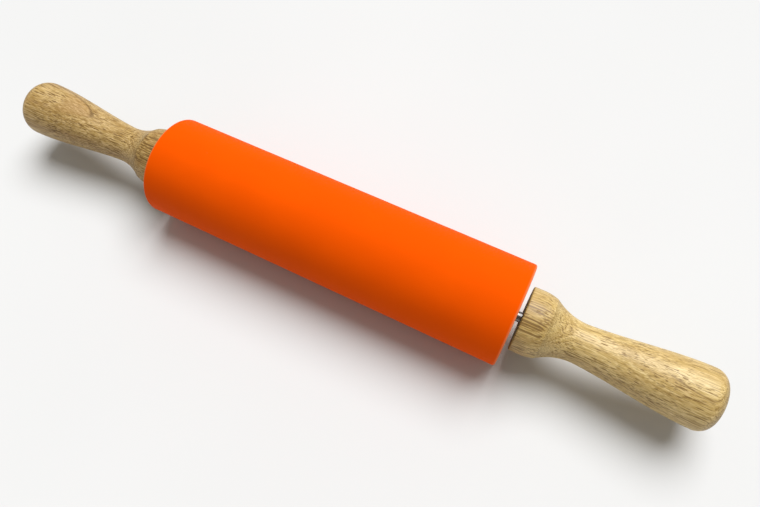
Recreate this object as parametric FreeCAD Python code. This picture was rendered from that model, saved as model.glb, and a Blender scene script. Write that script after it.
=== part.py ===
"""Rolling pin: a silicone-covered wooden barrel that turns on a steel axle between two turned handles.

Frame: millimetres, +X along the axle towards the right handle, +Z up, origin on the axle at the
middle of the barrel. Every part is drawn for the right-hand end; left_end() turns it about Z.
"""

import FreeCAD
import Part

import math
import os

V = FreeCAD.Vector
AXLE = V(1, 0, 0)
UP = V(0, 0, 1)
ORIGIN = V(0, 0, 0)

# Driving dimensions
BARREL_D = 50.8
BARREL_L = 191.0
HANDLE_L = 92.0
HANDLE_GAP = 2.5  # barrel's end to the handle's inner face
AXLE_D = 5.0
FIT_GAP = 0.02  # radial room in a pressed, glued or stretched joint

# Barrel: silicone sleeve over a wooden core
SLEEVE_T = 3.2
SLEEVE_ROUND = 1.2
SLEEVE_INNER_CHAMFER = 0.4
CORE_RECESS = 1.0  # the core stops this far inside the sleeve's ends
CORE_CHAMFER = 0.5
CORE_BORE_R = 6.0

# Bearing housing: a flanged nylon cup pressed into each end of the core
HOUSING_R = 11.0
HOUSING_L = 12.0
FLANGE_R = 14.0
FLANGE_T = 1.6
BEARING_INSET = 2.5  # flange's face to the bearing's outboard face
CUP_CHAMFER = 0.6

# Ball bearing, 5 x 16 x 5 mm with two shields
BEARING_OR = 8.0
BEARING_W = 5.0
BALL_R = 1.389
BALL_COUNT = 7
BALL_PITCH_R = (AXLE_D / 2 + BEARING_OR) / 2
GROOVE_R = 1.45
INNER_SHOULDER_R = 4.2
OUTER_SHOULDER_R = 6.3
SHIELD_SEAT_R = 6.72
SHIELD_SEAT_W = 0.45
SHIELD_T = 0.3
SHIELD_IR = 4.45
CAGE_IR = 4.6
CAGE_OR = 5.95
CAGE_W = 3.5
CAGE_POCKET_R = 1.47
RING_CHAMFER = 0.25

# Shims and retaining clips, one pair each side of a bearing
SHIM_OR = 3.9
SHIM_T = 0.4
CLIP_OR = 4.5
CLIP_IR = 3.3
CLIP_T = 0.6
CLIP_MOUTH_W = 3.6
CLIP_PRONG_W = 1.5
CLIP_GROOVE_R = 2.0
CLIP_GROOVE_W = 0.66

# Handle, measured along its axis from the inner face
COLLAR_R = 15.8
COLLAR_EDGE_R = 0.8
COLLAR_LAND = 5.0  # straight part of the collar, edge included
COLLAR_L = 12.0
COLLAR_END_R = 14.7
COVE_SLOPE = -0.68  # radius lost per millimetre, just past the collar
NECK = (29.0, 9.53)
NECK_SLOPE = 0.05
PALM_R = 14.55
END_CORNER_R = 7.0
END_DOME_R = 28.0
INSERT_POCKET_L = 22.0
INSERT_POCKET_R = 4.2
AXLE_HOLE_R = 2.7
AXLE_HOLE_L = 42.0

# Threaded insert that holds a handle on the axle
INSERT_L = 20.0
INSERT_INSET = 1.0
INSERT_ROOT_R = 3.55
INSERT_CREST_R = 4.15
INSERT_BARBS = 7
INSERT_SLOT_W = 1.2
INSERT_SLOT_DEPTH = 1.6
AXLE_IN_HANDLE = 40.0
AXLE_CHAMFER = 0.6

# Places along +X that follow from them
BARREL_R = BARREL_D / 2
AXLE_R = AXLE_D / 2
CORE_R = BARREL_R - SLEEVE_T
BARREL_END = BARREL_L / 2
CORE_END = BARREL_END - CORE_RECESS
HANDLE_FACE = BARREL_END + HANDLE_GAP
BEARING_OUT = CORE_END - BEARING_INSET
BEARING_IN = BEARING_OUT - BEARING_W
BEARING_MID = (BEARING_IN + BEARING_OUT) / 2


def turned(*edges):
    """Solid of revolution about the axle from edges in the XY plane that close on themselves."""
    face = Part.Face(Part.Wire([edge.toShape() for edge in edges]))
    return face.revolve(ORIGIN, AXLE, 360)


def lathe(points):
    """Solid of revolution from (x, radius) corners joined by straight lines."""
    corners = [V(x, r, 0) for x, r in points]
    return turned(*[Part.LineSegment(a, b) for a, b in zip(corners, corners[1:] + corners[:1])])


def disc(x0, x1, radius):
    """Solid cylinder on the axle from x0 to x1."""
    return Part.makeCylinder(radius, x1 - x0, V(x0, 0, 0), AXLE)


def tube(x0, x1, inner, outer):
    """Plain tube on the axle from x0 to x1."""
    return disc(x0, x1, outer).cut(disc(x0, x1, inner))


def chamfered_tube(x0, x1, inner, outer, chamfer):
    """Tube whose two outer edges are chamfered."""
    return lathe([
        (x0, inner), (x0, outer - chamfer), (x0 + chamfer, outer),
        (x1 - chamfer, outer), (x1, outer - chamfer), (x1, inner),
    ])


def smooth_run(start, start_slope, end, end_slope):
    """Cubic curve between two points of an outline, with the given rise per millimetre of X."""
    third = (end.x - start.x) / 3
    curve = Part.BezierCurve()
    curve.setPoles([
        start, start + V(third, start_slope * third, 0),
        end - V(third, end_slope * third, 0), end,
    ])
    return curve


def left_end(shape):
    """The same part at the left-hand end."""
    return shape.rotated(ORIGIN, UP, 180)


def silicone_sleeve():
    edge = SLEEVE_ROUND
    c = SLEEVE_INNER_CHAMFER
    bevel = edge * (1 - math.sqrt(0.5))
    ends = BARREL_END - edge
    return turned(
        Part.LineSegment(V(-ends, BARREL_R, 0), V(ends, BARREL_R, 0)),
        Part.Arc(V(ends, BARREL_R, 0), V(BARREL_END - bevel, BARREL_R - bevel, 0),
                 V(BARREL_END, BARREL_R - edge, 0)),
        Part.LineSegment(V(BARREL_END, BARREL_R - edge, 0), V(BARREL_END, CORE_R + c, 0)),
        Part.LineSegment(V(BARREL_END, CORE_R + c, 0), V(BARREL_END - c, CORE_R, 0)),
        Part.LineSegment(V(BARREL_END - c, CORE_R, 0), V(c - BARREL_END, CORE_R, 0)),
        Part.LineSegment(V(c - BARREL_END, CORE_R, 0), V(-BARREL_END, CORE_R + c, 0)),
        Part.LineSegment(V(-BARREL_END, CORE_R + c, 0), V(-BARREL_END, BARREL_R - edge, 0)),
        Part.Arc(V(-BARREL_END, BARREL_R - edge, 0),
                 V(bevel - BARREL_END, BARREL_R - bevel, 0), V(-ends, BARREL_R, 0)),
    )


def wooden_core():
    core = chamfered_tube(-CORE_END, CORE_END, CORE_BORE_R, CORE_R - FIT_GAP, CORE_CHAMFER)
    seat = disc(CORE_END - HOUSING_L, CORE_END, HOUSING_R + FIT_GAP)
    seat = seat.fuse(disc(CORE_END - FLANGE_T, CORE_END, FLANGE_R + FIT_GAP))
    return core.cut(seat).cut(left_end(seat))


def bearing_housing():
    back = CORE_END - HOUSING_L
    flange_back = CORE_END - FLANGE_T
    pocket = BEARING_OR + FIT_GAP
    return lathe([
        (back, CORE_BORE_R), (back, HOUSING_R - CUP_CHAMFER), (back + CUP_CHAMFER, HOUSING_R),
        (flange_back, HOUSING_R), (flange_back, FLANGE_R),
        (CORE_END - CUP_CHAMFER, FLANGE_R), (CORE_END, FLANGE_R - CUP_CHAMFER),
        (CORE_END, pocket + CUP_CHAMFER), (CORE_END - CUP_CHAMFER, pocket),
        (BEARING_IN, pocket), (BEARING_IN, CORE_BORE_R),
    ])


def ball_track():
    """Ring-shaped cutter that leaves the ball groove in a bearing ring."""
    return Part.makeTorus(BALL_PITCH_R, GROOVE_R, V(BEARING_MID, 0, 0), AXLE)


def bearing_outer_ring():
    ring = chamfered_tube(BEARING_IN, BEARING_OUT, OUTER_SHOULDER_R, BEARING_OR, RING_CHAMFER)
    ring = ring.cut(disc(BEARING_IN, BEARING_IN + SHIELD_SEAT_W, SHIELD_SEAT_R))
    ring = ring.cut(disc(BEARING_OUT - SHIELD_SEAT_W, BEARING_OUT, SHIELD_SEAT_R))
    return ring.cut(ball_track())


def bearing_inner_ring():
    return tube(BEARING_IN, BEARING_OUT, AXLE_R + FIT_GAP, INNER_SHOULDER_R).cut(ball_track())


def bearing_shields():
    """Two thin washers, one just inside each face of the outer ring."""
    edge = (SHIELD_SEAT_W - SHIELD_T) / 2
    starts = (BEARING_IN + edge, BEARING_OUT - edge - SHIELD_T)
    outer = SHIELD_SEAT_R - FIT_GAP
    return Part.makeCompound([tube(x, x + SHIELD_T, SHIELD_IR, outer) for x in starts])


def ball_places():
    step = 2 * math.pi / BALL_COUNT
    return [
        V(BEARING_MID, BALL_PITCH_R * math.cos(i * step), BALL_PITCH_R * math.sin(i * step))
        for i in range(BALL_COUNT)
    ]


def bearing_balls():
    return Part.makeCompound([Part.makeSphere(BALL_R, place) for place in ball_places()])


def ball_cage():
    cage = tube(BEARING_MID - CAGE_W / 2, BEARING_MID + CAGE_W / 2, CAGE_IR, CAGE_OR)
    for place in ball_places():
        cage = cage.cut(Part.makeSphere(CAGE_POCKET_R, place))
    return cage


def clip_starts():
    """Lower X of the inboard and the outboard retaining clip."""
    return (BEARING_IN - SHIM_T - CLIP_T, BEARING_OUT + SHIM_T)


def shim_washers():
    starts = (BEARING_IN - SHIM_T, BEARING_OUT)
    return Part.makeCompound([tube(x, x + SHIM_T, AXLE_R + FIT_GAP, SHIM_OR) for x in starts])


def retaining_clip(x):
    """E-shaped clip: an open ring whose three prongs reach into the axle's groove."""
    band = tube(x, x + CLIP_T, CLIP_IR, CLIP_OR)
    mouth = Part.makeBox(CLIP_T, CLIP_OR, CLIP_MOUTH_W, V(x, 0, -CLIP_MOUTH_W / 2))
    clip = band.cut(mouth)
    reach = CLIP_IR + (CLIP_OR - CLIP_IR) / 2
    prong = Part.makeBox(CLIP_T, reach, CLIP_PRONG_W, V(x, 0, -CLIP_PRONG_W / 2))
    prong = prong.cut(disc(x, x + CLIP_T, CLIP_GROOVE_R + FIT_GAP))
    for angle in (90, 180, 270):
        clip = clip.fuse(prong.rotated(ORIGIN, AXLE, angle))
    return clip.removeSplitter()


def retaining_clips():
    return Part.makeCompound([retaining_clip(x) for x in clip_starts()])


def axle_rod():
    end = HANDLE_FACE + AXLE_IN_HANDLE
    c = AXLE_CHAMFER
    rod = lathe([
        (-end, 0), (-end, AXLE_R - c), (c - end, AXLE_R),
        (end - c, AXLE_R), (end, AXLE_R - c), (end, 0),
    ])
    slack = (CLIP_GROOVE_W - CLIP_T) / 2
    for x in clip_starts():
        groove = tube(x - slack, x + CLIP_T + slack, CLIP_GROOVE_R, CLIP_OR)
        rod = rod.cut(groove).cut(left_end(groove))
    return rod


def threaded_insert():
    """Slotted sleeve with barbs outside, screwed on the axle and glued into the handle."""
    start = HANDLE_FACE + INSERT_INSET
    pitch = INSERT_L / INSERT_BARBS
    outline = [(start, AXLE_R + FIT_GAP), (start, INSERT_ROOT_R)]
    for i in range(INSERT_BARBS):
        crest = start + pitch * (i + 0.5)
        outline += [(crest, INSERT_CREST_R), (start + pitch * (i + 1), INSERT_ROOT_R)]
    outline.append((start + INSERT_L, AXLE_R + FIT_GAP))
    slot = Part.makeBox(INSERT_SLOT_DEPTH, 2 * INSERT_CREST_R, INSERT_SLOT_W,
                        V(start, -INSERT_CREST_R, -INSERT_SLOT_W / 2))
    return lathe(outline).cut(slot)


def handle():
    """Turned handle: collar, cove, neck, swelling grip and domed end, with a blind axle hole."""

    def at(s, r):
        return V(HANDLE_FACE + s, r, 0)

    edge = COLLAR_EDGE_R
    bevel = edge * (1 - math.sqrt(0.5))
    crown_l = COLLAR_L - COLLAR_LAND
    crown_r = (crown_l**2 / (COLLAR_R - COLLAR_END_R) + COLLAR_R - COLLAR_END_R) / 2
    half = crown_l / 2
    crown_mid = at(COLLAR_LAND + half, COLLAR_R - crown_r + math.sqrt(crown_r**2 - half**2))

    dome_centre = HANDLE_L - END_DOME_R
    corner_up = PALM_R - END_CORNER_R
    centres = END_DOME_R - END_CORNER_R
    corner_s = dome_centre + math.sqrt(centres**2 - corner_up**2)
    tilt = math.asin(corner_up / centres)
    turn = (math.pi / 2 + tilt) / 2
    corner_mid = at(corner_s + END_CORNER_R * math.cos(turn),
                    corner_up + END_CORNER_R * math.sin(turn))
    corner_end = at(dome_centre + END_DOME_R * math.cos(tilt), END_DOME_R * math.sin(tilt))
    dome_mid = at(dome_centre + END_DOME_R * math.cos(tilt / 2), END_DOME_R * math.sin(tilt / 2))

    corners = [
        at(HANDLE_L, 0), at(AXLE_HOLE_L, 0), at(AXLE_HOLE_L, AXLE_HOLE_R),
        at(INSERT_POCKET_L, AXLE_HOLE_R), at(INSERT_POCKET_L, INSERT_POCKET_R),
        at(0, INSERT_POCKET_R), at(0, COLLAR_R - edge),
    ]
    inside = [Part.LineSegment(a, b) for a, b in zip(corners, corners[1:])]
    return turned(
        Part.Arc(at(0, COLLAR_R - edge), at(bevel, COLLAR_R - bevel), at(edge, COLLAR_R)),
        Part.LineSegment(at(edge, COLLAR_R), at(COLLAR_LAND, COLLAR_R)),
        Part.Arc(at(COLLAR_LAND, COLLAR_R), crown_mid, at(COLLAR_L, COLLAR_END_R)),
        smooth_run(at(COLLAR_L, COLLAR_END_R), COVE_SLOPE, at(*NECK), NECK_SLOPE),
        smooth_run(at(*NECK), NECK_SLOPE, at(corner_s, PALM_R), 0),
        Part.Arc(at(corner_s, PALM_R), corner_mid, corner_end),
        Part.Arc(corner_end, dome_mid, at(HANDLE_L, 0)),
        *inside,
    )


MIDDLE_PARTS = {
    "silicone_sleeve": silicone_sleeve,
    "wooden_core": wooden_core,
    "axle_rod": axle_rod,
}
END_PARTS = {
    "handle": handle,
    "threaded_insert": threaded_insert,
    "bearing_housing": bearing_housing,
    "bearing_outer_ring": bearing_outer_ring,
    "bearing_inner_ring": bearing_inner_ring,
    "bearing_shields": bearing_shields,
    "bearing_balls": bearing_balls,
    "ball_cage": ball_cage,
    "shim_washers": shim_washers,
    "retaining_clips": retaining_clips,
}

os.makedirs("parts", exist_ok=True)
for name, make in MIDDLE_PARTS.items():
    make().exportStep(f"parts/{name}.step")
for name, make in END_PARTS.items():
    shape = make()
    shape.exportStep(f"parts/right_{name}.step")
    left_end(shape).exportStep(f"parts/left_{name}.step")
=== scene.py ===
"""Looks of a rolling pin: a silicone-covered barrel between two turned hardwood handles.

Metres, in the CAD frame: +X along the axle to the right handle, +Z up, origin on the axle at the
middle of the barrel. The pin lies on its barrel. Materials work in millimetres of the same frame.
"""

import math

import bpy
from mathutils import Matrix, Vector, noise


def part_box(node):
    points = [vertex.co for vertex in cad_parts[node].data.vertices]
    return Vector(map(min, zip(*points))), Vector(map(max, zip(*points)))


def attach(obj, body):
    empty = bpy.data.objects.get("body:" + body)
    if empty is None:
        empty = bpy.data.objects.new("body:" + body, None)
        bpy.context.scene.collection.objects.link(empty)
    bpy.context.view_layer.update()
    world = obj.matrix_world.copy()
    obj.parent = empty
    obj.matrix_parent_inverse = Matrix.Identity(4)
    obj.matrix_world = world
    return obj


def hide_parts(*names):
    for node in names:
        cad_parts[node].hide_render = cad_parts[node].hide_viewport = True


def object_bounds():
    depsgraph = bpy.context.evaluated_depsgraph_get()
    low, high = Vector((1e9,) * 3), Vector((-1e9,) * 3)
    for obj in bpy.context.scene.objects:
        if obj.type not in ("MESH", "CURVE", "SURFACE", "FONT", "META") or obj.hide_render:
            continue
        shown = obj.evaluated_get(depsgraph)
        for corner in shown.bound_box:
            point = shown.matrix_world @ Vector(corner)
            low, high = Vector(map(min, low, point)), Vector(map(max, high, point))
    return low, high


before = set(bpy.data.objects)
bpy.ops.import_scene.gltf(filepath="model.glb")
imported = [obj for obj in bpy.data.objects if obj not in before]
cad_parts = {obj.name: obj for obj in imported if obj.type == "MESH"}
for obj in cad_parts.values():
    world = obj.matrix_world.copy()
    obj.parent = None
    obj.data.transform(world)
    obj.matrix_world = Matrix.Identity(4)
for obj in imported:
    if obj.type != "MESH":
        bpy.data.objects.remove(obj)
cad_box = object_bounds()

MM = 0.001
TURN = 2 * math.pi
ENDS = ("left", "right")

# Handle, along its axis from the face beside the barrel
COLLAR_EDGE_R = 0.8 * MM
COLLAR_LAND = 5.0 * MM
COLLAR_L = 12.0 * MM
COLLAR_END_R = 14.7 * MM
COVE_SLOPE = -0.68
NECK = (29.0 * MM, 9.53 * MM)
NECK_SLOPE = 0.05
PALM_R = 14.55 * MM
END_CORNER_R = 7.0 * MM
END_DOME_R = 28.0 * MM
POCKET_L = 22.0 * MM
POCKET_R = 4.2 * MM
POCKET_BEVEL = 0.5 * MM
AXLE_HOLE_L = 42.0 * MM
AXLE_HOLE_R = 2.7 * MM
HAND_TURNED = 0.07 * MM  # how far a handle's surface strays from the outline
SANDING_ALONG = 70  # rate of the stray along a handle, per metre
SANDING_ROUND = 0.8  # and once round it, as the radius of a circle in the noise
SANDING_SEEDS = {"left": 11.0, "right": 3.0}

# Sleeve
SLEEVE_T = 3.2 * MM
SLEEVE_ROUND = 1.2 * MM
SLEEVE_INNER_CHAMFER = 0.4 * MM
SLEEVE_STRAY = 0.03 * MM
SLEEVE_INSET = 1.4  # in strays: keeps the whole skin inside the CAD sleeve
WALL_ALONG = 35  # the same two rates for the sleeve
WALL_ROUND = 0.6
AT_RIM = 1e-6  # a point this near a rim's face lies on it
RIM_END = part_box("silicone_sleeve")[1].x / MM
RIM_START = RIM_END - SLEEVE_ROUND / MM
RIM_HIGHLIGHT_FROM_R = 24.2  # millimetres: a painted highlight makes the rims paler outside this radius
RIM_HIGHLIGHT_FULL_R = 24.5

# Meshes
ON_AXIS = 1e-7  # a smaller radius is a point on the axis
SHARP_FROM = 13  # degrees between two faces
HANDLE_SEGMENTS = 168
SLEEVE_SEGMENTS = 256

# Silicone
ORANGE = (0.785, 0.0835, 0.0006)
ORANGE_DEEP = (0.755, 0.0785, 0.0006)
# pale orange of the painted highlight on the sleeve's rims
ORANGE_RIM_HIGHLIGHT = (0.80, 0.34, 0.16)
LINT = (0.75, 0.35, 0.2)

# Wood
LINED_Y = (-5.0, 7.0)  # middle and half width of the rows of vessels on a collar
STAIN_GREEN = 1.25  # powers of a change of brightness, against 1 for red
STAIN_BLUE = 2.2
COLLAR_DARKENING = 0.9
# darkest tone on faces towards the ends: end grain, and partly painted shade in the cove
END_GRAIN_AND_PAINTED_SHADE = 0.78

# Floor, light and view
FLOOR_SIZE = 8.0
FLOOR_TONES = ((0.645, 0.645, 0.65), (0.63, 0.63, 0.635))
KEY_FROM = (0.05, 0.50, 1.09)  # it shines from here towards the origin
KEY_SPREAD = 45.0  # degrees
KEY_STRENGTH = 3.95
KEY_COLOUR = (0.985, 0.995, 1.0)
FILL_COLOUR = (1.0, 0.965, 0.875)
FILL_STRENGTH = 0.33
BACKDROP_COLOUR = (0.93, 0.93, 0.925)
LENS = 29.42
SENSOR_WIDTH = 36.0
VIEW_SHIFT = (-0.0045, -0.0069)
VIEWER_AT = (0.0892, -0.1249, 0.2680)
VIEWER_TILT = 28.3  # degrees from looking straight down
VIEWER_TURN = 26.51  # degrees about Z


# Meshes


def arc(centre, radius, start, end, steps):
    """Points on an arc of the outline, angles in degrees from +X, both ends included."""
    angles = [math.radians(start + (end - start) * i / steps) for i in range(steps + 1)]
    return [(centre[0] + radius * math.cos(a), centre[1] + radius * math.sin(a)) for a in angles]


def straight(start, end, steps):
    """Evenly spaced points from start to end, without the end."""
    return [
        tuple(a + (b - a) * i / steps for a, b in zip(start, end)) for i in range(steps)
    ]


def smooth_run(start, start_slope, end, end_slope, steps):
    """Points on a cubic between two points with given slopes, without the end."""
    span = end[0] - start[0]
    points = []
    for i in range(steps):
        t = i / steps
        points.append((
            start[0] + t * span,
            (2 * t**3 - 3 * t**2 + 1) * start[1] + (t**3 - 2 * t**2 + t) * span * start_slope
            + (3 * t**2 - 2 * t**3) * end[1] + (t**3 - t**2) * span * end_slope,
        ))
    return points


def lathe(name, outline, segments, stray=None):
    """Closed mesh turned about X from (x, radius) points; the outline ends on the axis or joins up."""
    rings, points, faces = [], [], []
    for x, r in outline:
        first = len(points)
        if r < ON_AXIS:
            points.append((x, 0, 0))
            rings.append([first] * segments)
            continue
        for i in range(segments):
            a = TURN * i / segments
            out = r + (stray(x, r, a) if stray else 0)
            points.append((x, out * math.cos(a), out * math.sin(a)))
        rings.append(list(range(first, first + segments)))
    open_ended = len(set(rings[0])) == 1 and len(set(rings[-1])) == 1
    pairs = list(zip(rings, rings[1:])) + ([] if open_ended else [(rings[-1], rings[0])])
    for near, far in pairs:
        for i in range(segments):
            j = (i + 1) % segments
            corners = [near[i], near[j], far[j], far[i]]
            faces.append(list(dict.fromkeys(corners)))
    mesh = bpy.data.meshes.new(name)
    mesh.from_pydata(points, [], faces)
    mesh.validate()
    mesh.shade_smooth()
    mesh.set_sharp_from_angle(angle=math.radians(SHARP_FROM))
    piece = bpy.data.objects.new(name, mesh)
    bpy.context.scene.collection.objects.link(piece)
    return piece


def handle_outline(length, collar_r):
    """Outer and inner outline of a handle, from the blind end of its axle hole to its domed end."""
    edge = COLLAR_EDGE_R
    crown_l = COLLAR_L - COLLAR_LAND
    crown_drop = collar_r - COLLAR_END_R
    crown_r = (crown_l**2 / crown_drop + crown_drop) / 2
    crown_turn = math.degrees(math.asin(crown_l / crown_r))
    dome_centre = length - END_DOME_R
    corner_up = PALM_R - END_CORNER_R
    centres = END_DOME_R - END_CORNER_R
    corner_s = dome_centre + math.sqrt(centres**2 - corner_up**2)
    tilt = math.degrees(math.asin(corner_up / centres))
    return [
        (AXLE_HOLE_L, 0),
        *straight((AXLE_HOLE_L, AXLE_HOLE_R), (POCKET_L, AXLE_HOLE_R), steps=4),
        (POCKET_L, AXLE_HOLE_R),
        *straight((POCKET_L, POCKET_R), (POCKET_BEVEL, POCKET_R), steps=4),
        (POCKET_BEVEL, POCKET_R),
        *straight((0, POCKET_R + POCKET_BEVEL), (0, collar_r - edge), steps=6),
        *arc((edge, collar_r - edge), edge, 180, 90, steps=10),
        *straight((edge, collar_r), (COLLAR_LAND, collar_r), steps=8)[1:],
        *arc((COLLAR_LAND, collar_r - crown_r), crown_r, 90, 90 - crown_turn, steps=16)[:-1],
        *smooth_run((COLLAR_L, COLLAR_END_R), COVE_SLOPE, NECK, NECK_SLOPE, steps=34),
        *smooth_run(NECK, NECK_SLOPE, (corner_s, PALM_R), 0, steps=70),
        *arc((corner_s, corner_up), END_CORNER_R, 90, tilt, steps=22)[:-1],
        *arc((dome_centre, 0), END_DOME_R, tilt, 0, steps=14)[:-1],
        (length, 0),
    ]


def turned_handle(side):
    """A handle with the slight unevenness that hand sanding leaves on a turned piece."""
    low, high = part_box(f"{side}_handle")
    length = high.x - low.x
    outline = handle_outline(length, high.z)
    sign = 1 if side == "right" else -1
    face = low.x if side == "right" else high.x
    seed = SANDING_SEEDS[side]

    def stray(x, r, a):
        if r < POCKET_R + POCKET_BEVEL:
            return 0
        along = abs(x - face)
        round_y, round_z = math.cos(a) * SANDING_ROUND, math.sin(a) * SANDING_ROUND
        sanded = noise.noise(Vector((along * SANDING_ALONG + seed, round_y, round_z)))
        fade = min(1, r / COLLAR_END_R)
        return HAND_TURNED * sanded * fade

    points = [(face + sign * s, r) for s, r in outline]
    piece = lathe(f"turned_handle_{side}", points, HANDLE_SEGMENTS, stray)
    if side == "left":
        piece.data.flip_normals()
    return piece


def sleeve_skin():
    """The silicone sleeve, with rounded rims and a wall a little uneven along its length."""
    low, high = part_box("silicone_sleeve")
    outer = high.z
    inner = outer - SLEEVE_T
    end = high.x
    edge, bevel = SLEEVE_ROUND, SLEEVE_INNER_CHAMFER
    half = [
        *straight((0, outer), (end - edge, outer), steps=60),
        *arc((end - edge, outer - edge), edge, 90, 0, steps=10),
        *straight((end, outer - edge), (end, inner + bevel), steps=3)[1:],
        (end, inner + bevel),
        (end - bevel, inner),
    ]
    outline = half + [(-x, r) for x, r in reversed(half[1:])]

    def stray(x, r, a):
        if r < outer - edge or abs(x) > end - AT_RIM:
            return 0
        round_y, round_z = math.cos(a) * WALL_ROUND, math.sin(a) * WALL_ROUND
        wall = noise.noise(Vector((x * WALL_ALONG, round_y, round_z)))
        return SLEEVE_STRAY * (wall - SLEEVE_INSET)

    return lathe("sleeve_skin", outline, SLEEVE_SEGMENTS, stray)


# Materials


class Surface:
    """A node material being built. Each method adds a node and returns the socket it gives."""

    def __init__(self, name):
        self.material = bpy.data.materials.new(name)
        self.material.use_nodes = True
        self.tree = self.material.node_tree
        self.shader = self.tree.nodes["Principled BSDF"]
        self.texture = self.tree.nodes.new("ShaderNodeTexCoord")
        self.place = self.vector("SCALE", self.texture.outputs["Object"], scale=1 / MM)

    def set(self, socket, value):
        if isinstance(value, bpy.types.NodeSocket):
            self.tree.links.new(value, socket)
        else:
            socket.default_value = value

    def finish(self, **values):
        """Sets the shader's sockets, named with underscores for spaces."""
        for name, value in values.items():
            self.set(self.shader.inputs[name.replace("_", " ")], value)
        return self.material

    def vector(self, operation, a, b=(0, 0, 0), scale=1.0):
        node = self.tree.nodes.new("ShaderNodeVectorMath")
        node.operation = operation
        self.set(node.inputs[0], a)
        if operation == "SCALE":
            node.inputs[3].default_value = scale
        else:
            self.set(node.inputs[1], b)
        return node.outputs["Value" if operation == "LENGTH" else "Vector"]

    def maths(self, operation, a, b=0.0):
        node = self.tree.nodes.new("ShaderNodeMath")
        node.operation = operation
        self.set(node.inputs[0], a)
        self.set(node.inputs[1], b)
        return node.outputs[0]

    def stretched(self, x, y, z, place=None):
        """The place in millimetres, times a rate along each axis."""
        return self.vector("MULTIPLY", place or self.place, (x, y, z))

    def radius(self):
        """Distance from the axle's middle line, in millimetres."""
        y, z = self.split(self.place)[1:]
        return self.vector("LENGTH", self.join(0.0, y, z))

    def split(self, vector):
        node = self.tree.nodes.new("ShaderNodeSeparateXYZ")
        self.set(node.inputs[0], vector)
        return node.outputs

    def join(self, x=0.0, y=0.0, z=0.0):
        node = self.tree.nodes.new("ShaderNodeCombineXYZ")
        for socket, value in zip(node.inputs, (x, y, z)):
            self.set(socket, value)
        return node.outputs[0]

    def noise(self, place, detail=2.0, roughness=0.5, colour=False):
        node = self.tree.nodes.new("ShaderNodeTexNoise")
        self.set(node.inputs["Vector"], place)
        node.inputs["Scale"].default_value = 1.0
        node.inputs["Detail"].default_value = detail
        node.inputs["Roughness"].default_value = roughness
        return node.outputs["Color" if colour else 0]

    def bands(self, value, detail=2.0, roughness=0.5):
        """Noise along one number."""
        node = self.tree.nodes.new("ShaderNodeTexNoise")
        node.noise_dimensions = "1D"
        self.set(node.inputs["W"], value)
        node.inputs["Scale"].default_value = 1.0
        node.inputs["Detail"].default_value = detail
        node.inputs["Roughness"].default_value = roughness
        return node.outputs[0]

    def cells(self, place):
        """Distance to the nearest of scattered points, and that point's own random number."""
        node = self.tree.nodes.new("ShaderNodeTexVoronoi")
        self.set(node.inputs["Vector"], place)
        node.inputs["Scale"].default_value = 1.0
        return node.outputs["Distance"], self.split(node.outputs["Color"])[0]

    def vessels(self, grain, length, spacing, width):
        """Long pores lying with the grain, 1 inside a pore. Each has its own width, up to width."""
        near, kind = self.cells(self.stretched(1 / length, 1 / spacing, 1 / spacing, grain))
        own = self.step(kind, -0.3, 1.0, 0.0, width)
        return self.step(self.maths("SUBTRACT", near, own), -0.07, 0.04, 1.0, 0.0)

    def near(self, x, stretch, full, none):
        """1 within a stretch (middle, half length), fading out from full to none half lengths."""
        middle, reach = stretch
        away = self.maths("ABSOLUTE", self.maths("SUBTRACT", x, middle))
        return self.step(away, reach * full, reach * none, 1.0, 0.0)

    def step(self, value, low, high, to_low=0.0, to_high=1.0):
        """A smooth step from to_low to to_high as value goes from low to high."""
        node = self.tree.nodes.new("ShaderNodeMapRange")
        node.interpolation_type = "SMOOTHSTEP"
        for name, number in (("Value", value), ("From Min", low), ("From Max", high),
                             ("To Min", to_low), ("To Max", to_high)):
            self.set(node.inputs[name], number)
        return node.outputs[0]

    def mix(self, amount, a, b, blend="MIX"):
        node = self.tree.nodes.new("ShaderNodeMix")
        node.data_type = "RGBA"
        node.blend_type = blend
        self.set(node.inputs[0], amount)
        self.set(node.inputs[6], a if isinstance(a, bpy.types.NodeSocket) else (*a, 1))
        self.set(node.inputs[7], b if isinstance(b, bpy.types.NodeSocket) else (*b, 1))
        return node.outputs[2]

    def brighten(self, colour, value):
        """The colour times a number."""
        return self.mix(1.0, colour, self.join(value, value, value), "MULTIPLY")

    def stain(self, colour, value):
        """The colour times a number, green and blue more so: darker is richer, paler is creamier."""
        green = self.maths("POWER", value, STAIN_GREEN)
        blue = self.maths("POWER", value, STAIN_BLUE)
        return self.mix(1.0, colour, self.join(value, green, blue), "MULTIPLY")

    def bump(self, height, depth_mm, under=None):
        node = self.tree.nodes.new("ShaderNodeBump")
        node.inputs["Strength"].default_value = 1.0
        node.inputs["Distance"].default_value = depth_mm * MM
        self.set(node.inputs["Height"], height)
        if under:
            self.set(node.inputs["Normal"], under)
        return node.outputs[0]


def wandering_grain(s):
    """The place in millimetres, shifted a little across the grain, so no line runs dead straight."""
    wander = s.noise(s.stretched(0.02, 0.07, 0.07), detail=1.0, colour=True)
    wander = s.vector("SUBTRACT", wander, (0.5, 0.5, 0.5))
    return s.vector("ADD", s.place, s.vector("MULTIPLY", wander, (0, 1.5, 1.5)))


def ring_depth(s, grain, look):
    """How far out from the pith a place is, counted from the handle's own middle line."""
    x, y, z = s.split(grain)
    past_middle = s.maths("SUBTRACT", x, look["middle"])
    rise = s.maths("ADD", s.maths("MULTIPLY", past_middle, look["drift"]), look["pith"][1])
    across = s.join(0.0, s.maths("SUBTRACT", y, look["pith"][0]), s.maths("SUBTRACT", z, rise))
    return s.maths("SUBTRACT", s.vector("LENGTH", across), math.hypot(*look["pith"]))


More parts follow.
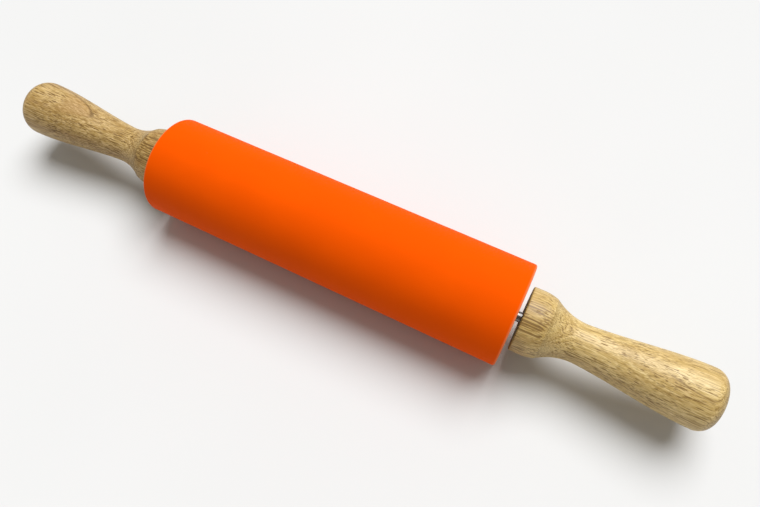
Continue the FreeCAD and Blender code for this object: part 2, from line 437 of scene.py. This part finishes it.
def ground_colour(s, grain, depth, look):
    """Growth rings from pale to brown, with redder streaks along the grain."""
    rings = s.bands(s.maths("MULTIPLY", depth, 0.4), detail=3.0, roughness=0.6)
    streak = s.noise(s.stretched(0.02, 0.3, 0.3, grain), detail=3.0, roughness=0.6)
    colour = s.mix(s.step(rings, 0.36, 0.66), look["pale"], look["brown"])
    return s.mix(s.step(streak, 0.46, 0.72, 0.0, 0.7), colour, look["red"])


def dark_ring(s, grain, depth, look):
    """The dark ring's line and the patch inside it, each 1 where it shows and 0 elsewhere."""
    x, y = s.split(grain)[:2]
    past_ring = s.maths("SUBTRACT", depth, look["ring"])
    inside = s.step(past_ring, -0.1, 0.15)
    inside = s.maths("MULTIPLY", inside, s.near(x, look["patch"], 0.6, 1.0))
    line = s.step(s.maths("ABSOLUTE", past_ring), 0.02, 0.2, 1.0, 0.0)
    line = s.maths("MULTIPLY", line, s.near(x, look["patch"], 1.0, 1.5))
    line = s.maths("MULTIPLY", line, s.step(s.maths("MULTIPLY", y, look["side"]), -2.0, 2.0))
    return line, inside


def fine_grain(s, colour, grain, depth, fibre, look):
    """The colour with fine hairs, fibres, fine rings and clouds laid over it."""
    hair = s.noise(s.stretched(0.16, 3.1, 3.1, grain), detail=1.0, roughness=0.8)
    fine = s.bands(s.maths("MULTIPLY", depth, 1.3), detail=1.0, roughness=0.6)
    mottle = s.noise(s.stretched(0.05, 0.12, 0.12), detail=2.0)
    banding = look["banding"]
    colour = s.stain(colour, s.step(hair, 0.3, 0.7, 1 - look["grain"], 1 + look["grain"] * 0.85))
    colour = s.stain(colour, s.step(fibre, 0.42, 0.32, 1.0, 1.08))
    colour = s.stain(colour, s.step(fine, 0.38, 0.6, 1.0 - banding, 1.0 + banding * 0.6))
    return s.stain(colour, s.step(mottle, 0.3, 0.7, 0.95, 1.05))


def vessel_lines(s, grain, fibre, crowded, plain):
    """Vessels cut lengthwise: fine lines in loose crowds, and straight rows on a collar."""
    y = s.split(grain)[1]
    lined = s.maths("MULTIPLY", crowded, s.near(y, LINED_Y, 0.8, 1.2))
    crowd = s.noise(s.stretched(0.05, 0.16, 0.16), detail=1.0)
    crowd = s.maths("MAXIMUM", s.step(crowd, 0.35, 0.6, 0.35, 1.0), lined)
    lines = s.maths("MULTIPLY", s.step(fibre, 0.52, 0.6), s.maths("MULTIPLY", crowd, plain))
    rows = s.noise(s.stretched(0.04, 1.15, 1.15, grain), detail=1.0)
    rows = s.maths("MULTIPLY", s.step(rows, 0.475, 0.575), lined)
    return s.maths("MAXIMUM", s.maths("MULTIPLY", lines, s.step(lined, 0.0, 1.0, 1.0, 0.6)), rows)


def open_pores(s, grain, plain):
    """Vessels cut open: long dashes, and shorter, fainter ones between them."""
    long_ones = s.vessels(grain, length=9.0, spacing=1.1, width=0.24)
    short_ones = s.vessels(grain, length=4.5, spacing=0.7, width=0.26)
    pores = s.maths("MAXIMUM", long_ones, s.maths("MULTIPLY", short_ones, 0.8))
    return s.maths("MULTIPLY", pores, plain)


def end_grain_and_painted_shade(s):
    """Darker on faces turned towards the ends of the piece: partly where the grain is cut across,
    partly painted shade that deepens the cove.
    """
    facing = s.split(s.texture.outputs["Normal"])[0]
    end_grain = s.maths("MULTIPLY", facing, facing)
    return s.step(end_grain, 0.08, 0.45, 1.0, END_GRAIN_AND_PAINTED_SHADE)


def hardwood(name, look):
    """Rubberwood: growth rings round a pith beside the piece, and long vessels seen as dashes.

    Lengths are millimetres, and rates are per millimetre. In look:
    pale, brown, red and pore are colours, from plain wood to an open vessel;
    pith is the pith's Y and Z at X = middle, and drift is how fast its Z changes along X;
    ring is the depth of a dark ring. Where the turned surface passes it, it shows as a line round
    a pointed patch, on the +Y or -Y side as side says, filled with red as far as fill says;
    patch is the middle and half length along X of the stretch where that shows;
    lined is the same for a stretch with straight rows of vessels, which is also made a little darker;
    line, grain, lines and banding are how strongly each kind of mark shows;
    rough and shine are the finish.
    """
    s = Surface(name)
    grain = wandering_grain(s)
    depth = ring_depth(s, grain, look)
    fibre = s.noise(s.stretched(0.07, 2.0, 2.0, grain), detail=2.0, roughness=0.7)
    line, inside = dark_ring(s, grain, depth, look)
    plain = s.step(inside, 0.0, 1.0, 1.0, 1.0 - look["fill"])
    crowded = s.near(s.split(grain)[0], look["lined"], 0.7, 1.3)
    lines = vessel_lines(s, grain, fibre, crowded, plain)
    pores = open_pores(s, grain, plain)

    colour = ground_colour(s, grain, depth, look)
    colour = s.mix(s.maths("MULTIPLY", inside, look["fill"]), colour, look["red"])
    colour = s.mix(s.maths("MULTIPLY", line, look["line"]), colour, look["pore"])
    colour = fine_grain(s, colour, grain, depth, fibre, look)
    # darker over the collar stretch beside the barrel
    colour = s.stain(colour, s.step(crowded, 0.0, 1.0, 1.0, COLLAR_DARKENING))
    colour = s.mix(s.maths("MULTIPLY", lines, look["lines"]), colour, look["pore"])
    colour = s.mix(s.maths("MULTIPLY", pores, 0.9), colour, look["pore"])
    # darker on faces towards the ends: end grain, and partly painted shade
    colour = s.brighten(colour, end_grain_and_painted_shade(s))

    worn = s.maths("ADD", fibre, s.maths("MULTIPLY", pores, 0.8))
    roughness = s.step(worn, 0.2, 1.6, look["rough"] - 0.05, look["rough"] + 0.26)
    relief = s.bump(s.maths("MULTIPLY", pores, -1.0), depth_mm=0.04)
    relief = s.bump(s.maths("MULTIPLY", fibre, -1.0), depth_mm=0.03, under=relief)
    return s.finish(Base_Color=colour, Roughness=roughness, Normal=relief,
                    IOR=1.45, Specular_IOR_Level=look["shine"])


def silicone():
    """Matt moulded silicone: faint cloudiness, fine tooth, lint, and a painted highlight that makes
    the rims paler.
    """
    s = Surface("orange_silicone")
    cloud = s.noise(s.stretched(0.03, 0.06, 0.06), detail=3.0)
    scuff = s.noise(s.stretched(0.35, 1.4, 1.4), detail=2.0, roughness=0.7)
    tooth = s.noise(s.stretched(5.5, 5.5, 5.5), detail=2.0)
    colour = s.mix(s.step(cloud, 0.3, 0.7), ORANGE_DEEP, ORANGE)
    from_middle = s.maths("ABSOLUTE", s.split(s.place)[0])
    # painted highlight: the rounded rims are mixed towards pale orange
    rim = s.step(from_middle, RIM_START, RIM_END, 0.0, 0.5)
    rim = s.maths("MULTIPLY", rim, s.step(s.radius(), RIM_HIGHLIGHT_FROM_R, RIM_HIGHLIGHT_FULL_R))
    colour = s.mix(rim, colour, ORANGE_RIM_HIGHLIGHT)
    specks, kind = s.cells(s.stretched(0.16, 0.3, 0.3))
    past_edge = s.maths("SUBTRACT", specks, s.step(kind, 0.8, 1.0, -0.05, 0.028))
    colour = s.mix(s.step(past_edge, -0.01, 0.012, 0.35, 0.0), colour, LINT)
    uneven = s.maths("ADD", scuff, s.maths("MULTIPLY", cloud, 0.5))
    roughness = s.step(uneven, 0.45, 1.1, 0.55, 0.72)
    return s.finish(Base_Color=colour, Roughness=roughness, Normal=s.bump(tooth, depth_mm=0.012),
                    IOR=1.41, Specular_IOR_Level=0.04, Specular_Tint=(1.0, 0.42, 0.08, 1.0),
                    Sheen_Weight=0.006, Sheen_Roughness=0.3, Sheen_Tint=(1.0, 0.4, 0.1, 1.0))


def drawn_steel(name, tint, rough, along):
    """Steel with fine lines, lengthwise on drawn stock or round the axle on a turned face."""
    s = Surface(name)
    if along:
        lines = s.noise(s.stretched(0.12, 7.0, 7.0), detail=3.0, roughness=0.7)
    else:
        lines = s.bands(s.maths("MULTIPLY", s.radius(), 9.0), detail=4.0, roughness=0.7)
    smear = s.noise(s.stretched(0.3, 0.5, 0.5), detail=3.0, roughness=0.6)
    dull = tuple(c * 0.72 for c in tint)
    colour = s.mix(s.step(smear, 0.35, 0.75), tint, dull)
    colour = s.brighten(colour, s.step(lines, 0.3, 0.7, 0.9, 1.06))
    roughness = s.step(s.maths("ADD", lines, smear), 0.6, 1.4, rough, rough + 0.16)
    return s.finish(Base_Color=colour, Roughness=roughness, Normal=s.bump(lines, depth_mm=0.006),
                    Metallic=1.0)


def moulded(name, tint, rough):
    """Moulded nylon: slightly cloudy, with a fine spark-eroded texture."""
    s = Surface(name)
    cloud = s.noise(s.stretched(0.25, 0.25, 0.25), detail=3.0)
    texture = s.noise(s.stretched(6.0, 6.0, 6.0), detail=1.0)
    colour = s.mix(s.step(cloud, 0.3, 0.7), tint, tuple(c * 0.88 for c in tint))
    roughness = s.step(texture, 0.3, 0.7, rough, rough + 0.12)
    return s.finish(Base_Color=colour, Roughness=roughness, Normal=s.bump(texture, depth_mm=0.015),
                    IOR=1.53)


def brass():
    """Machined brass with turning lines and a little tarnish."""
    s = Surface("machined_brass")
    lines = s.noise(s.stretched(8.0, 0.6, 0.6), detail=2.0)
    tarnish = s.noise(s.stretched(0.6, 0.6, 0.6), detail=4.0, roughness=0.6)
    colour = s.mix(s.step(tarnish, 0.45, 0.75), (0.78, 0.56, 0.22), (0.42, 0.27, 0.10))
    return s.finish(Base_Color=colour, Roughness=s.step(tarnish, 0.3, 0.8, 0.26, 0.5),
                    Normal=s.bump(lines, depth_mm=0.01), Metallic=1.0)


def pale_floor():
    """Plain matt floor with hardly visible clouds in its tone."""
    s = Surface("pale_floor")
    tone = s.noise(s.stretched(0.004, 0.004, 0.004), detail=2.0)
    colour = s.mix(s.step(tone, 0.3, 0.7), *FLOOR_TONES)
    return s.finish(Base_Color=colour, Roughness=0.85, Specular_IOR_Level=0.2)


def wear(piece, material):
    """Gives every face of a piece one material."""
    piece.data.materials.clear()
    piece.data.materials.append(material)


# Object

HANDLE_LOOKS = {
    "left": {
        "pale": (0.49, 0.333, 0.129), "brown": (0.408, 0.26, 0.09), "red": (0.38, 0.228, 0.08),
        "pore": (0.15, 0.079, 0.019), "pith": (-7.0, -44.4), "drift": -0.03, "middle": -148.0,
        "ring": 11.22, "patch": (-149.0, 20.0), "side": 1, "fill": 0.65, "line": 0.75, "grain": 0.3,
        "lined": (-102.5, 8.0), "lines": 1.0, "banding": 0.04, "rough": 0.46, "shine": 0.35,
    },
    "right": {
        "pale": (0.64, 0.468, 0.192), "brown": (0.53, 0.365, 0.132), "red": (0.497, 0.332, 0.116),
        "pore": (0.18, 0.096, 0.022), "pith": (-2.5, -45.0), "drift": 0.03, "middle": 148.0,
        "ring": 12.6, "patch": (178.0, 12.0), "side": -1, "fill": 0.0, "line": 0.6, "grain": 0.22,
        "lined": (102.5, 8.0), "lines": 0.85, "banding": 0.06, "rough": 0.46, "shine": 0.55,
    },
}
CORE_LOOK = {
    "pale": (0.45, 0.32, 0.14), "brown": (0.36, 0.24, 0.09), "red": (0.34, 0.20, 0.085),
    "pore": (0.14, 0.08, 0.03), "pith": (-30.0, -40.0), "drift": 0.0, "middle": 0.0,
    "ring": 60.0, "patch": (0.0, 1.0), "side": 1, "fill": 0.0, "line": 0.0, "grain": 0.16,
    "lined": (0.0, 1.0), "lines": 0.4, "banding": 0.1, "rough": 0.6, "shine": 0.2,
}

for side in ENDS:
    handle = turned_handle(side)
    wear(handle, hardwood(f"rubberwood_{side}", HANDLE_LOOKS[side]))
    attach(handle, "axle_and_handles")
    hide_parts(f"{side}_handle")

sleeve = sleeve_skin()
wear(sleeve, silicone())
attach(sleeve, "barrel")
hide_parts("silicone_sleeve")

# the axle's steel is darker than bare steel: partly painted shade, so the axle reads dark in the gap
# beside the handle
steel = drawn_steel("drawn_steel", (0.34, 0.33, 0.32), 0.24, along=True)
ground_steel = drawn_steel("ground_steel", (0.72, 0.72, 0.73), 0.12, along=False)
sheet_steel = drawn_steel("sheet_steel", (0.60, 0.61, 0.62), 0.3, along=False)
black_steel = drawn_steel("black_steel", (0.10, 0.10, 0.105), 0.36, along=False)
brass_finish = brass()
pale_nylon = moulded("pale_nylon", (0.80, 0.78, 0.70), 0.42)
dark_nylon = moulded("dark_nylon", (0.16, 0.10, 0.055), 0.4)

wear(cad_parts["wooden_core"], hardwood("rubberwood_core", CORE_LOOK))
wear(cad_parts["axle_rod"], steel)
END_FINISHES = {
    "threaded_insert": brass_finish,
    "bearing_housing": pale_nylon,
    "bearing_outer_ring": ground_steel,
    "bearing_inner_ring": ground_steel,
    "bearing_shields": sheet_steel,
    "bearing_balls": ground_steel,
    "ball_cage": dark_nylon,
    "shim_washers": sheet_steel,
    "retaining_clips": black_steel,
}
for side in ENDS:
    for part, finish in END_FINISHES.items():
        wear(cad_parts[f"{side}_{part}"], finish)

# Floor, light and camera

bpy.ops.mesh.primitive_plane_add(size=FLOOR_SIZE, location=(0, 0, cad_box[0].z))
floor = bpy.context.object
floor.name = "floor"
wear(floor, pale_floor())


def soft_light(name, source, spread, strength):
    """A wide distant light, like a large softbox, that lights pin and floor evenly."""
    lamp = bpy.data.lights.new(name, "SUN")
    lamp.color = KEY_COLOUR
    lamp.angle = math.radians(spread)
    lamp.energy = strength
    holder = bpy.data.objects.new(name, lamp)
    holder.location = source
    holder.rotation_euler = (-Vector(source)).to_track_quat("-Z", "Y").to_euler()
    bpy.context.scene.collection.objects.link(holder)


def studio_world(fill, strength, backdrop):
    """A warm fill light from all round, seen by the camera as a plain pale backdrop."""
    world = bpy.data.worlds.new("studio")
    world.use_nodes = True
    nodes, links = world.node_tree.nodes, world.node_tree.links
    light = nodes["Background"]
    light.inputs["Color"].default_value = (*fill, 1)
    light.inputs["Strength"].default_value = strength
    seen = nodes.new("ShaderNodeBackground")
    seen.inputs["Color"].default_value = (*backdrop, 1)
    path = nodes.new("ShaderNodeLightPath")
    both = nodes.new("ShaderNodeMixShader")
    links.new(path.outputs["Is Camera Ray"], both.inputs[0])
    links.new(light.outputs[0], both.inputs[1])
    links.new(seen.outputs[0], both.inputs[2])
    links.new(both.outputs[0], nodes["World Output"].inputs["Surface"])
    bpy.context.scene.world = world


soft_light("key", KEY_FROM, KEY_SPREAD, KEY_STRENGTH)
studio_world(FILL_COLOUR, FILL_STRENGTH, BACKDROP_COLOUR)
bpy.context.scene.view_settings.view_transform = "Standard"

camera = bpy.data.cameras.new("camera")
camera.lens = LENS
camera.sensor_width = SENSOR_WIDTH
camera.shift_x, camera.shift_y = VIEW_SHIFT
viewer = bpy.data.objects.new("camera", camera)
viewer.location = VIEWER_AT
viewer.rotation_euler = (math.radians(VIEWER_TILT), 0, math.radians(VIEWER_TURN))
bpy.context.scene.collection.objects.link(viewer)
bpy.context.scene.camera = viewer
